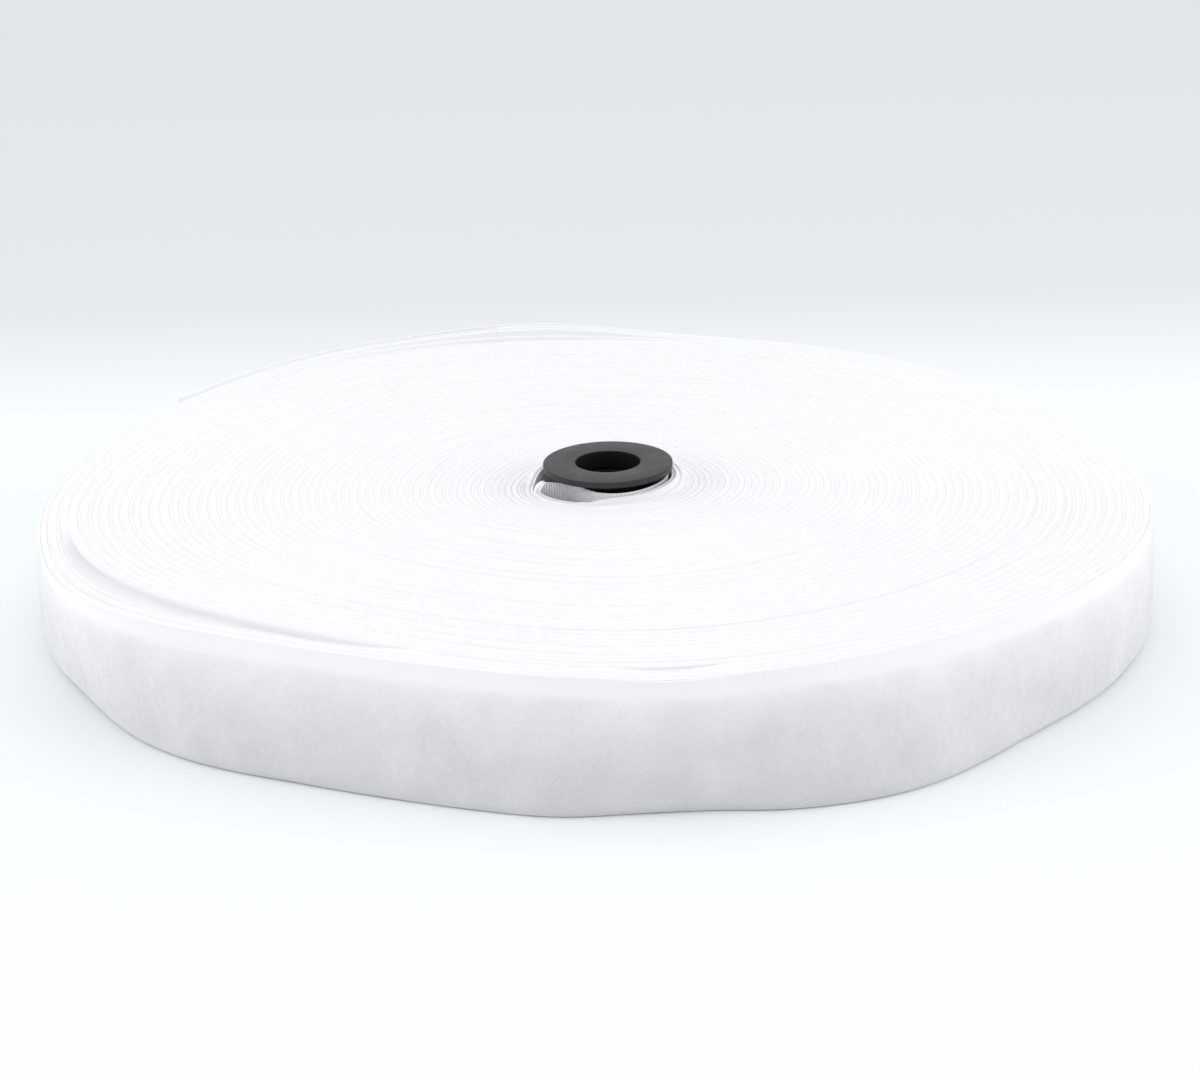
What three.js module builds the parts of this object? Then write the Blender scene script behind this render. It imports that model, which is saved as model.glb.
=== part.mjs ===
// White loop tape wound flat on a two-piece black plastic core.
// Millimetres, +Z up, origin on the core's axis at the surface that the roll lies on.
// +Y points to the back of the roll, +X to its right.
import * as THREE from "three";

// Tape
const TAPE_WIDTH = 25;
const PRESSED_TAPE_THICKNESS = 0.65;
const LOOSE_TAPE_THICKNESS = 1;

// Winding, counted in turns from the hole outwards, counter-clockwise seen from above
const WHOLE_TURNS = 60;
const START_ANGLE = 255;
const END_ANGLE = 147;
const HOLE_RADIUS = 13.8;
const HOLE_SHIFT = new THREE.Vector2(-0.3, -1.5);
const INNER_PITCH = 1.3;
const PACK_RADIUS = 108.7;
const INNER_TURNS_SHOWN = 10;
const OUTER_TURNS_SHOWN = 12;
const STEPS_PER_TURN = 36;

// Bulge of the hole round the folded inner end
const HOLE_BULGES = [{ angle: 220, spread: 56, size: 2.45 }];

// Shape of the pack's rim, which is out of round: waves that each run a whole number of times round it
const PACK_WAVES = [
  { count: 1, angle: 117.6, size: 7.7 },
  { count: 2, angle: -25.3, size: 4.9 },
  { count: 3, angle: -39.2, size: 1 },
  { count: 4, angle: 13.9, size: 0.9 },
  { count: 5, angle: -19.3, size: 1.4 },
];

// Slack of the outermost turns: stand-off from the pack, lift and lean
const LOOSE_TURNS = 3.35;
const LOOSENING_TURNS = 0.5;
const FANNING_PER_TURN = 0.1;
const LOOSE_PITCH_LOSS = 0.35;
const BULGES = [
  { angle: 211, spread: 22, size: 3.3 },
  { angle: 222, spread: 38, size: 4.25 },
];
const EDGE_LIFTS = [
  { angle: 112, spread: 42, size: 1.6 },
  { angle: 98, spread: 20, size: 1.6 },
];
const FOOT_LEANS = [
  { angle: 210, spread: 24, size: -6.3 },
  { angle: 254, spread: 90, size: 4.85 },
];

// Free end that peels off the roll
const FREE_END_SWEEP = 33;
const FREE_END_FLARE = 0.8;
const FREE_END_STEPS = 11;
const PEEL_GAP = 0.3;

// Core
const FLANGE_RADIUS = 14;
const FLANGE_THICKNESS = 1.4;
const TAPE_END_PLAY = 1.6;
const CORE_LENGTH = TAPE_WIDTH + TAPE_END_PLAY + 2 * FLANGE_THICKNESS;
const BORE_RADIUS = 7;
const SPIGOT_WALL = 0.85;
const BARREL_WALL = 1.1;
const MOUTH_DEPTH = 4;
const EDGE_BREAK = 0.3;
const ROOT_FILLET = 0.5;
const CORE_SEGMENTS = 48;

// Clearances
const CORE_CLEARANCE = 0.3;
const TAPE_CLEARANCE = 0.4;
const LIFT_RUNOUT = 2;

// Inner end of the tape: it lies along the hole's edge, runs left past the barrel and folds back.
// Each row is an angle and a share of the room from the barrel (0) to the hole's mean radius (1).
const INNER_END = [
  [60, 0.35],
  [25, 0.45],
  [-10, 0.58],
  [-35, 0.66],
  [-54, 0.83],
  [-69, 1],
  [-83, 1.06],
  [-98, 0.91],
  [-109, 0.62],
  [-124, 0.27],
  [-139, 0.25],
  [-150.5, 0.69],
  [-155.5, 1.13],
  [-156.5, 1.45],
  [-154.3, 1.66],
  [-148, 1.7],
  [-135, 1.69],
  [-119, 1.65],
];
const INNER_END_STEPS = 72;
const LEAST_GAP = 0.4;
const SAME_STRETCH = 5;

const tapeWhite = () =>
  new THREE.MeshStandardMaterial({ color: 0xf4f4f2, roughness: 0.95, metalness: 0 });
const coreBlack = () =>
  new THREE.MeshStandardMaterial({ color: 0x1c1c1d, roughness: 0.55, metalness: 0 });

const radians = THREE.MathUtils.degToRad;
const spigotRadius = BORE_RADIUS + SPIGOT_WALL;
const socketRadius = spigotRadius + CORE_CLEARANCE;
const barrelRadius = socketRadius + BARREL_WALL;
const turnsInAll = WHOLE_TURNS + (END_ANGLE - START_ANGLE) / 360;
const packTurns = turnsInAll - LOOSE_TURNS;

// How far a turn has grown from the hole's edge (0) to the pack's rim (1); the pitch grows evenly on the way.
function growth(turn) {
  const even = turn / packTurns;
  const first = (INNER_PITCH * packTurns) / (PACK_RADIUS - HOLE_RADIUS);
  return first * even + (1 - first) * even ** 2;
}

// Sum of smooth hills, each round its own angle and nothing outside its spread.
function hills(angle, list) {
  return list.reduce((sum, { angle: centre, spread, size }) => {
    const off = THREE.MathUtils.euclideanModulo(angle - centre + 180, 360) - 180;
    return Math.abs(off) < spread ? sum + size * Math.cos((off / spread) * (Math.PI / 2)) ** 2 : sum;
  }, 0);
}

// How free a turn is: 0 in the pack, then more with each loose turn up to 1 at the tape's end.
function freedom(turn) {
  const loose = THREE.MathUtils.smoothstep(turn, packTurns, packTurns + LOOSENING_TURNS);
  return loose * (1 - FANNING_PER_TURN * (turnsInAll - turn));
}

// Radius of a turn at an angle, still without slack: the hole's shape grows into the rim's.
function outlineRadius(turn, angle) {
  const a = radians(angle);
  const moved = HOLE_SHIFT.x * Math.cos(a) + HOLE_SHIFT.y * Math.sin(a);
  const hole = HOLE_RADIUS + moved + hills(angle, HOLE_BULGES);
  const rim = PACK_WAVES.reduce((sum, wave) => {
    return sum + wave.size * Math.cos(wave.count * radians(angle - wave.angle));
  }, PACK_RADIUS);
  return THREE.MathUtils.lerp(hole, rim, growth(turn));
}

// The innermost turns stand on the core's lower flange, the rest on the surface below.
function flangeLift(radius) {
  const free = FLANGE_RADIUS + PRESSED_TAPE_THICKNESS / 2 + CORE_CLEARANCE;
  const raised = FLANGE_THICKNESS + CORE_CLEARANCE;
  return raised * (1 - THREE.MathUtils.smoothstep(radius, free, free + LIFT_RUNOUT));
}

// A place on the tape's centre line: plan position of its upper edge, height and outward lean of its foot.
// A flare moves the upper edge alone.
function placeAt(turn, flare = 0) {
  const angle = START_ANGLE + 360 * turn;
  const free = freedom(turn);
  const slack = free * hills(angle, BULGES) - LOOSE_PITCH_LOSS * Math.max(turn - packTurns, 0);
  const radius = outlineRadius(turn, angle) + slack + flare;
  const a = radians(angle);
  return {
    x: radius * Math.cos(a),
    y: radius * Math.sin(a),
    lift: flangeLift(radius) + free * hills(angle, EDGE_LIFTS),
    lean: free * hills(angle, FOOT_LEANS) - flare,
  };
}

function turnsBetween(first, last) {
  const steps = Math.round((last - first) * STEPS_PER_TURN);
  return Array.from({ length: steps + 1 }, (_, i) => placeAt(first + ((last - first) * i) / steps));
}

// The inner end and its fold, on one smooth curve that runs into the first turn.
function innerEndPlaces() {
  const start = placeAt(0);
  const onBarrel = barrelRadius + CORE_CLEARANCE + PRESSED_TAPE_THICKNESS / 2;
  const points = INNER_END.map(([angle, share]) => {
    const radius = THREE.MathUtils.lerp(onBarrel, HOLE_RADIUS, share);
    return new THREE.Vector3(radius * Math.cos(radians(angle)), radius * Math.sin(radians(angle)), 0);
  });
  points.push(new THREE.Vector3(start.x, start.y, 0));
  const curve = new THREE.CatmullRomCurve3(points, false, "centripetal");
  const places = curve.getSpacedPoints(INNER_END_STEPS).slice(0, -1);
  return places.map(({ x, y }) => ({ x, y, lift: flangeLift(Math.hypot(x, y)), lean: 0 }));
}

// Unit normal on the left of the way the tape runs, at each place.
function leftNormals(places) {
  return places.map((_, i) => {
    const before = places[Math.max(i - 1, 0)];
    const after = places[Math.min(i + 1, places.length - 1)];
    return new THREE.Vector2(before.y - after.y, after.x - before.x).normalize();
  });
}

// A flat tape standing on edge along its places, as one closed band with square-cut ends.
function tapeBand(places, thickness) {
  const normals = leftNormals(places);
  const positions = [];
  const triangles = [];
  places.forEach(({ x, y, lift, lean }, i) => {
    const { x: nx, y: ny } = normals[i];
    const half = thickness / 2;
    for (const [side, foot] of [[half, 1], [half, 0], [-half, 0], [-half, 1]]) {
      const out = side - lean * foot;
      positions.push(x + nx * out, y + ny * out, lift + TAPE_WIDTH * (1 - foot));
    }
  });
  const quad = (a, b, c, d) => triangles.push(a, b, c, a, c, d);
  for (let i = 0; i < places.length - 1; i++) {
    for (let k = 0; k < 4; k++) {
      const next = (k + 1) % 4;
      quad(4 * i + k, 4 * i + next, 4 * i + 4 + next, 4 * i + 4 + k);
    }
  }
  const last = 4 * (places.length - 1);
  quad(3, 2, 1, 0);
  quad(last, last + 1, last + 2, last + 3);
  const geometry = new THREE.BufferGeometry();
  geometry.setAttribute("position", new THREE.Float32BufferAttribute(positions, 3));
  geometry.setIndex(triangles);
  return geometry;
}

// Least clear distance between stretches of one tape that lie further apart along it than a short stretch.
function leastGap(places, thickness) {
  const along = [0];
  places.slice(1).forEach((p, i) => along.push(along[i] + Math.hypot(p.x - places[i].x, p.y - places[i].y)));
  let least = Infinity;
  const from = new THREE.Vector3();
  const nearest = new THREE.Vector3();
  for (let i = 0; i < places.length; i++) {
    from.set(places[i].x, places[i].y, 0);
    for (let k = 0; k < places.length - 1; k++) {
      if (along[i] - along[k + 1] < SAME_STRETCH && along[k] - along[i] < SAME_STRETCH) continue;
      const a = new THREE.Vector3(places[k].x, places[k].y, 0);
      const b = new THREE.Vector3(places[k + 1].x, places[k + 1].y, 0);
      new THREE.Line3(a, b).closestPointToPoint(from, true, nearest);
      least = Math.min(least, nearest.distanceTo(from) - thickness);
    }
  }
  return least;
}

function windingOutline(turn, beyond) {
  const points = [];
  for (let i = 0; i < 2 * STEPS_PER_TURN; i++) {
    const angle = START_ANGLE + (180 * i) / STEPS_PER_TURN;
    const radius = outlineRadius(turn, angle) + beyond;
    points.push(new THREE.Vector2(radius * Math.cos(radians(angle)), radius * Math.sin(radians(angle))));
  }
  return points;
}

// The close-wound middle of the roll, a plain ring between the turns that show at the hole and at the rim.
function packGeometry() {
  const fromInner = PRESSED_TAPE_THICKNESS / 2 + TAPE_CLEARANCE;
  const toOuter = LOOSE_TAPE_THICKNESS / 2 + TAPE_CLEARANCE;
  const shape = new THREE.Shape(windingOutline(WHOLE_TURNS - OUTER_TURNS_SHOWN, -toOuter));
  shape.holes.push(new THREE.Path(windingOutline(INNER_TURNS_SHOWN, fromInner)));
  return new THREE.ExtrudeGeometry(shape, { depth: TAPE_WIDTH, bevelEnabled: false });
}

// A round piece from its closed half section, listed as radius and height.
function turned(section) {
  const points = [...section, section[0]].map(([radius, height]) => new THREE.Vector2(radius, height));
  const geometry = new THREE.LatheGeometry(points, CORE_SEGMENTS);
  geometry.rotateX(Math.PI / 2);
  return geometry;
}

// Upper half: flange and barrel, counterbored from below to take the other half's spigot.
function upperHalfGeometry() {
  const top = CORE_LENGTH;
  const under = top - FLANGE_THICKNESS;
  const foot = FLANGE_THICKNESS + CORE_CLEARANCE;
  return turned([
    [BORE_RADIUS, top - MOUTH_DEPTH],
    [socketRadius, top - MOUTH_DEPTH],
    [socketRadius, foot],
    [barrelRadius, foot],
    [barrelRadius, under - ROOT_FILLET],
    [barrelRadius + ROOT_FILLET, under],
    [FLANGE_RADIUS - EDGE_BREAK, under],
    [FLANGE_RADIUS, under + EDGE_BREAK],
    [FLANGE_RADIUS, top - EDGE_BREAK],
    [FLANGE_RADIUS - EDGE_BREAK, top],
    [BORE_RADIUS + EDGE_BREAK, top],
    [BORE_RADIUS, top - EDGE_BREAK],
  ]);
}

// Lower half: the same flange with a spigot that rises inside the barrel to the mouth's ledge.
function lowerHalfGeometry() {
  const top = CORE_LENGTH - MOUTH_DEPTH - CORE_CLEARANCE;
  return turned([
    [BORE_RADIUS + EDGE_BREAK, 0],
    [FLANGE_RADIUS - EDGE_BREAK, 0],
    [FLANGE_RADIUS, EDGE_BREAK],
    [FLANGE_RADIUS, FLANGE_THICKNESS - EDGE_BREAK],
    [FLANGE_RADIUS - EDGE_BREAK, FLANGE_THICKNESS],
    [spigotRadius, FLANGE_THICKNESS],
    [spigotRadius, top - EDGE_BREAK],
    [spigotRadius - EDGE_BREAK, top],
    [BORE_RADIUS, top],
    [BORE_RADIUS, EDGE_BREAK],
  ]);
}

// Free end: it follows the last turn, then flares a little off the roll.
function freeEndPlaces(hingeTurn) {
  const first = hingeTurn + PEEL_GAP / (2 * Math.PI * PACK_RADIUS);
  return Array.from({ length: FREE_END_STEPS + 1 }, (_, i) => {
    const share = i / FREE_END_STEPS;
    return placeAt(THREE.MathUtils.lerp(first, turnsInAll, share), FREE_END_FLARE * share ** 4);
  });
}

const hingeTurn = turnsInAll - FREE_END_SWEEP / 360;
const innerPlaces = [...innerEndPlaces(), ...turnsBetween(0, INNER_TURNS_SHOWN)];
const outerPlaces = turnsBetween(WHOLE_TURNS - OUTER_TURNS_SHOWN, hingeTurn);
for (const [name, places, thickness] of [
  ["inner turns", innerPlaces, PRESSED_TAPE_THICKNESS],
  ["outer turns", outerPlaces, LOOSE_TAPE_THICKNESS],
]) {
  const gap = leastGap(places, thickness);
  console.log(`${name}: least gap ${gap.toFixed(2)} mm, ${gap > LEAST_GAP ? "clear" : "too close"}`);
}
const freeEnd = tapeBand(freeEndPlaces(hingeTurn), LOOSE_TAPE_THICKNESS);
const cornerText = (corner) => {
  const point = new THREE.Vector3().fromBufferAttribute(freeEnd.getAttribute("position"), corner);
  return point.toArray().map((length) => length.toFixed(2)).join(", ");
};
console.log(`peel line from ${cornerText(3)} to ${cornerText(2)}`);

const roll = new THREE.Group();
for (const [name, geometry, material] of [
  ["tape_pack", packGeometry(), tapeWhite()],
  ["tape_inner_turns", tapeBand(innerPlaces, PRESSED_TAPE_THICKNESS), tapeWhite()],
  ["tape_outer_turns", tapeBand(outerPlaces, LOOSE_TAPE_THICKNESS), tapeWhite()],
  ["tape_free_end", freeEnd, tapeWhite()],
  ["core_upper_half", upperHalfGeometry(), coreBlack()],
  ["core_lower_half", lowerHalfGeometry(), coreBlack()],
]) {
  const mesh = new THREE.Mesh(geometry, material);
  mesh.name = name;
  roll.add(mesh);
}

export default roll;
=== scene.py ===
# %% [markdown]
# # A roll of white loop tape on a black core
# The real object is one long woven tape, 25 mm wide, with brushed loops on its outer side. It is wound
# flat, standing on edge, round a black plastic core that was pushed together from two flanged halves.
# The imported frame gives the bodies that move: the roll, the two core halves and the tape's free end.
# Loading it first means that every piece below is placed in the same frame, in metres.

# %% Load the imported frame
import math

import bpy
import numpy as np
from mathutils import Matrix


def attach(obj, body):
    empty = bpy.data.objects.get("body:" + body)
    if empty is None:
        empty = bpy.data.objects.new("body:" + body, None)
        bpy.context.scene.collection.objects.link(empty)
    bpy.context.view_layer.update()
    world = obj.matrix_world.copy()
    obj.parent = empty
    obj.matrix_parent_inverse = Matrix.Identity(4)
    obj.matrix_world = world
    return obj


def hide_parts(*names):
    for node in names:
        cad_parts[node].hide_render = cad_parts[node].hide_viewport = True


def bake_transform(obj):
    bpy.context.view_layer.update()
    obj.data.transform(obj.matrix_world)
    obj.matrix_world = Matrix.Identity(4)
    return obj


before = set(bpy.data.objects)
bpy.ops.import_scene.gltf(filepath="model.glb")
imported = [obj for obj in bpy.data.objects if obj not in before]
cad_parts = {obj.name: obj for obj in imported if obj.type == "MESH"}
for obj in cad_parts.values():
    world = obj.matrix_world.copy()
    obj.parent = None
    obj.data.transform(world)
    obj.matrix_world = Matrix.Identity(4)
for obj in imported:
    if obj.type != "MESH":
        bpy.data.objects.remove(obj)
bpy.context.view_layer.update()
scene = bpy.context.scene
MM = 0.001

# %% [markdown]
# ## The camera
# The photo was taken from the front, about 21 degrees above the roll. A camera is its place, its lens and
# its turn. It could be aimed at an empty with a constraint, but that can't give the slight roll of the
# picture. Building the turn from three rotations keeps each of them readable: a small turn to the side,
# the tilt down, and the roll.

# %% Camera at the photo's angle
PHOTO_WIDTH_PX, FOCAL_PX = 1200, 2200
SENSOR_WIDTH = 36
CAMERA_PLACE = (0, -450 * MM, 182.4 * MM)
CAMERA_TILT, CAMERA_SIDE, CAMERA_ROLL = 69.18, 0.27, -1.48

lens = bpy.data.cameras.new("camera")
lens.sensor_fit = "HORIZONTAL"
lens.sensor_width = SENSOR_WIDTH
lens.lens = SENSOR_WIDTH * FOCAL_PX / PHOTO_WIDTH_PX
camera = bpy.data.objects.new("camera", lens)
scene.collection.objects.link(camera)
camera.matrix_world = (
    Matrix.Translation(CAMERA_PLACE)
    @ Matrix.Rotation(math.radians(CAMERA_SIDE), 4, "Z")
    @ Matrix.Rotation(math.radians(CAMERA_TILT), 4, "X")
    @ Matrix.Rotation(math.radians(CAMERA_ROLL), 4, "Z")
)
scene.camera = camera
print(f"camera: {lens.lens:.1f} mm lens")

# %% [markdown]
# ## What the winding measures
# Each size below is one that could be measured on the roll, in millimetres, degrees or turns. The hole sits
# off the roll's centre and bulges on one side. The rim is out of true, which five waves round the roll
# describe. The last three turns stand off the pack, and hills say where: each has an angle, a spread and a
# size, and they push the tape out, lift its edge or lean its foot. Turns count outwards from the hole,
# counter-clockwise from above.

# %% Sizes of the winding
TAPE_WIDTH = 25
WHOLE_TURNS = 60
START_ANGLE, END_ANGLE = 255, 147
TURNS = WHOLE_TURNS + (END_ANGLE - START_ANGLE) / 360
LOOSE_TURNS, LOOSENING_TURNS = 3.35, 0.5
PACK_TURNS = TURNS - LOOSE_TURNS
HOLE_RADIUS, PACK_RADIUS = 13.8, 108.7
HOLE_SHIFT = (-0.3, -1.5)
INNER_PITCH = 1.3
FANNING_PER_TURN, LOOSE_PITCH_LOSS = 0.1, 0.35
FREE_END_SWEEP, FLARE = 33, 0.8
FREE_END_TURN = TURNS - FREE_END_SWEEP / 360
# Waves of the pack's rim: times round, angle of a crest, size
PACK_WAVES = [(1, 117.6, 7.7), (2, -25.3, 4.9), (3, -39.2, 1), (4, 13.9, 0.9), (5, -19.3, 1.4)]
# Hills round the roll: angle, spread in degrees, size
HOLE_BULGES = [(220, 56, 2.45)]
BULGES = [(211, 22, 3.3), (222, 38, 4.25), (275.5, 8, 1.8)]
EDGE_LIFTS = [(112, 42, 1.6), (98, 20, 1.6)]
FOOT_LEANS = [
    (210, 24, -6.3), (254, 90, 4.85), (275.5, 8, -1.8), (221, 17, 2.4), (275, 13, -2.4), (298, 20, 4.2)
]
print(f"winding: {TURNS:.2f} turns of {TAPE_WIDTH} mm tape, {LOOSE_TURNS} of them loose")

# %% [markdown]
# ## Steps and hills
# Tape bends in soft curves, so nothing about it may change at a sharp corner. Two small functions see to
# that: a step that is level at both ends, and a hill that rises and falls round an angle. A curve widget
# could draw such ramps by hand, but functions take whole arrays of turns at once.

# %% Soft steps and hills


def smooth(value, low, high):
    """From 0 at low to 1 at high, level at both ends."""
    share = np.clip((value - low) / (high - low), 0, 1)
    return share * share * (3 - 2 * share)


def hills(angle, rows):
    """The sum of all hills at some angles."""
    total = np.zeros_like(angle)
    for centre, spread, size in rows:
        off = (angle - centre + 180) % 360 - 180
        total += np.where(np.abs(off) < spread, size * np.cos(off / spread * np.pi / 2) ** 2, 0)
    return total


print("half a step:", smooth(0.5, 0, 1), "top of a hill:", hills(np.array([220.0]), HOLE_BULGES)[0])

# %% [markdown]
# ## Where the tape runs
# A roll is a spiral, so it could be drawn as a curve with a bevel, but such a spiral is round and even. A
# formula that gives the tape's place after any number of turns holds all of the sizes above. The hole's
# outline grows into the rim's outline turn by turn, and the loose turns add their hills to it.

# %% The winding as a formula


def growth(turn):
    """Share of the way from the hole (0) to the pack's rim (1)."""
    even = turn / PACK_TURNS
    first = INNER_PITCH * PACK_TURNS / (PACK_RADIUS - HOLE_RADIUS)
    return first * even + (1 - first) * even**2


def freedom(turn):
    """How freely a turn follows the hills: not at all in the pack."""
    loose = smooth(turn, PACK_TURNS, PACK_TURNS + LOOSENING_TURNS)
    return loose * (1 - FANNING_PER_TURN * (TURNS - turn))


def flare(turn):
    """How far the free end stands off."""
    return FLARE * np.clip((turn - FREE_END_TURN) / (TURNS - FREE_END_TURN), 0, 1) ** 4


def radius_at(turn):
    angle = START_ANGLE + 360 * turn
    a = np.radians(angle)
    hole = HOLE_RADIUS + HOLE_SHIFT[0] * np.cos(a) + HOLE_SHIFT[1] * np.sin(a) + hills(angle, HOLE_BULGES)
    waves = [size * np.cos(count * np.radians(angle - crest)) for count, crest, size in PACK_WAVES]
    rim = PACK_RADIUS + sum(waves)
    slack = freedom(turn) * hills(angle, BULGES) - LOOSE_PITCH_LOSS * np.clip(turn - PACK_TURNS, 0, None)
    return hole + (rim - hole) * growth(turn) + slack + flare(turn)


def lean_at(turn):
    """How far the tape's foot stands out past its upper edge."""
    return freedom(turn) * hills(START_ANGLE + 360 * turn, FOOT_LEANS) - flare(turn)


def on_turns(turn):
    """The tape's places in plan."""
    a = np.radians(START_ANGLE + 360 * turn)
    return radius_at(turn)[:, None] * np.stack([np.cos(a), np.sin(a)], axis=1)


ends = radius_at(np.array([0.0, TURNS]))
print(f"radius: {ends[0]:.1f} mm at the first turn and {ends[1]:.1f} mm at the tape's end")

# %% [markdown]
# ## The tape's inner end
# In the hole the tape's inner end lies along the edge, runs past the core and folds back on itself before
# the first turn. It follows no formula, so a few points are listed and a smooth curve goes through them.
# The curve's knots are spaced by the square root of the distances, which keeps the tight fold free of loops.

# %% The folded inner end
INNER_END_STEP = 0.2
# Each row: angle and radius
ALONG_THE_EDGE = [(60, 11.6), (25, 12.3), (-10, 12.9), (-35, 13.2), (-54, 13.65), (-69, 14.1), (-83, 14.2)]
PAST_THE_CORE = [(-98, 13.45), (-109, 12.3), (-124, 10.95), (-139, 10.85), (-150.5, 12.6)]
ROUND_THE_FOLD = [(-155.5, 14.3), (-156.5, 15.55), (-154.3, 16.4), (-148, 16.55), (-135, 16.5), (-119, 16.35)]
CURVE_STEPS = 60


def lengths(path):
    """How far each point lies along a path."""
    return np.concatenate([[0], np.cumsum(np.linalg.norm(np.diff(path, axis=0), axis=1))])


def curve_through(points, step):
    """Points every step along a smooth curve through the given ones."""
    p = np.vstack([2 * points[0] - points[1], points, 2 * points[-1] - points[-2]])
    knots = np.concatenate([[0], np.cumsum(np.linalg.norm(np.diff(p, axis=0), axis=1) ** 0.5)])
    out = []
    for i in range(1, len(p) - 2):
        k = knots[i - 1 : i + 3]
        t = np.linspace(k[1], k[2], CURVE_STEPS, endpoint=False)[:, None]
        a = [((k[j + 1] - t) * p[i - 1 + j] + (t - k[j]) * p[i + j]) / (k[j + 1] - k[j]) for j in range(3)]
        b = [((k[j + 2] - t) * a[j] + (t - k[j]) * a[j + 1]) / (k[j + 2] - k[j]) for j in range(2)]
        out.append(((k[2] - t) * b[0] + (t - k[1]) * b[1]) / (k[2] - k[1]))
    fine = np.vstack([*out, p[-2:-1]])
    along = lengths(fine)
    even = np.linspace(0, along[-1], round(along[-1] / step) + 1)
    return np.stack([np.interp(even, along, fine[:, k]) for k in range(2)], axis=1)


rows = ALONG_THE_EDGE + PAST_THE_CORE + ROUND_THE_FOLD
end_points = [(r * math.cos(math.radians(a)), r * math.sin(math.radians(a))) for a, r in rows]
first_turn = on_turns(np.array([0.0]))
inner_end = curve_through(np.vstack([end_points, first_turn]), INNER_END_STEP)[:-1]
past_fold = int(np.argmin(inner_end[:, 0]))
print(f"inner end: {len(inner_end)} points, folded at point {past_fold}")

# %% [markdown]
# ## How high the tape stands
# The turns don't lie quite level. Those at the hole stand on the lower flange, the loose ones are raised at
# the back, and every turn is a few hundredths of a millimetre off its neighbour, which is why single
# turns can be told apart on the roll's top. Random values along the tape, with smooth steps between them,
# give that. A noise in space could lift the edges too, but it would lift neighbouring turns alike.

# %% Heights along the tape
LIFTED_WITHIN, FLANGE_LIFT, LIFT_RUNOUT = 14.65, 1.7, 2
MEAN_LIFT, UNEVEN_LIFT, MOST_UNEVEN = 0.25, 0.035, 2
SLOW_SPAN, QUICK_SPAN, QUICK_SHARE = 0.43, 0.09, 0.6
SLOW_SEED, QUICK_SEED = 3, 4
SPARE_KNOTS = 40


def wander(turn, span, seed):
    """Smooth random values along the tape, one knot every span turns."""
    knots = np.random.default_rng(seed).normal(size=int(TURNS / span) + SPARE_KNOTS)
    x = (turn + 1) / span
    low = np.floor(x).astype(int)
    mix = smooth(x - low, 0, 1)
    return knots[low] * (1 - mix) + knots[low + 1] * mix


def lift_at(turn, radius):
    on_flange = FLANGE_LIFT * (1 - smooth(radius, LIFTED_WITHIN, LIFTED_WITHIN + LIFT_RUNOUT))
    raised = freedom(turn) * hills(START_ANGLE + 360 * turn, EDGE_LIFTS)
    random = wander(turn, SLOW_SPAN, SLOW_SEED) + QUICK_SHARE * wander(turn, QUICK_SPAN, QUICK_SEED)
    return on_flange + raised + (MEAN_LIFT + UNEVEN_LIFT * np.clip(random, -MOST_UNEVEN, MOST_UNEVEN))


print(f"lift: {FLANGE_LIFT} mm on the flange, {UNEVEN_LIFT} mm from turn to turn")

# %% [markdown]
# ## The tape's section
# Cut across, the tape is a thin woven ground with rounded edges. The brushed loops stand on its outer side
# between two bare bands. Where turns press on each other the loops are flattened and spread almost to the
# edges, so each corner of the section is written as shares: of the pile's height and of the bare band's
# width. Both are worked out later from the room up to the next turn.

# %% The section's corners
GROUND = 0.5
ROUNDED_ACROSS, ROUNDED_UP = 0.08, 0.06
half = GROUND / 2
flat = half - ROUNDED_ACROSS
top = TAPE_WIDTH
# Each corner: across the tape, share of the pile's height, height, share of the bare band
SECTION = np.array([
    (-flat, 0, 0, 0), (flat, 0, 0, 0), (half, 0, ROUNDED_UP, 0),
    (half, 0, 0, 0.9), (half, 0.7, 0, 1.1), (half, 1, 0, 1.4),
    (half, 1, top, -1.4), (half, 0.7, top, -1.1), (half, 0, top, -0.9),
    (half, 0, top - ROUNDED_UP, 0), (flat, 0, top, 0), (-flat, 0, top, 0),
    (-half, 0, top - ROUNDED_UP, 0), (-half, 0, ROUNDED_UP, 0),
])
PILE_FACES, PLAIN_SIDE = range(3, 8), 12
print(f"section: {len(SECTION)} corners")

# %% [markdown]
# ## A mesh with the tape's map
# Every piece of tape is a mesh with a map (its UV) that says how far along and how high up the tape a point
# lies, in metres. With it a finish can be given in real sizes and follows the tape round all its turns.
# Unwrapping the mesh would give a map too, but one without lengths.

# %% A piece of tape from points


def new_mesh(name, points, faces, uv, materials, material_of_face=None):
    """A smooth piece of tape from points in millimetres, with its map."""
    mesh = bpy.data.meshes.new(name)
    mesh.from_pydata(points * MM, [], faces)
    corner = np.empty(len(mesh.loops), int)
    mesh.loops.foreach_get("vertex_index", corner)
    layer = mesh.uv_layers.new(name="tape")
    layer.data.foreach_set("uv", (uv * MM)[corner].astype(np.float32).ravel())
    for material in materials:
        mesh.materials.append(material)
    if material_of_face is not None:
        mesh.polygons.foreach_set("material_index", material_of_face)
    mesh.polygons.foreach_set("use_smooth", np.ones(len(mesh.polygons), bool))
    piece = bpy.data.objects.new(name, mesh)
    scene.collection.objects.link(piece)
    return piece


print("map of the tape: along and up, in metres")

# %% [markdown]
# ## Sweeping the section
# The section is swept along the path as rings of points. A bevelled curve can't change its section on the
# way, and an operator can't follow 60 changing turns, while rings built in code cost one array each. The
# two cut ends are shaded flat, so that the shading stays crisp there.

# %% Sweep the section along the path
NARROW_BAND = 1
EDGE_SLOT, PILE_SLOT, RIBBED_SLOT = 0, 1, 2


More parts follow.
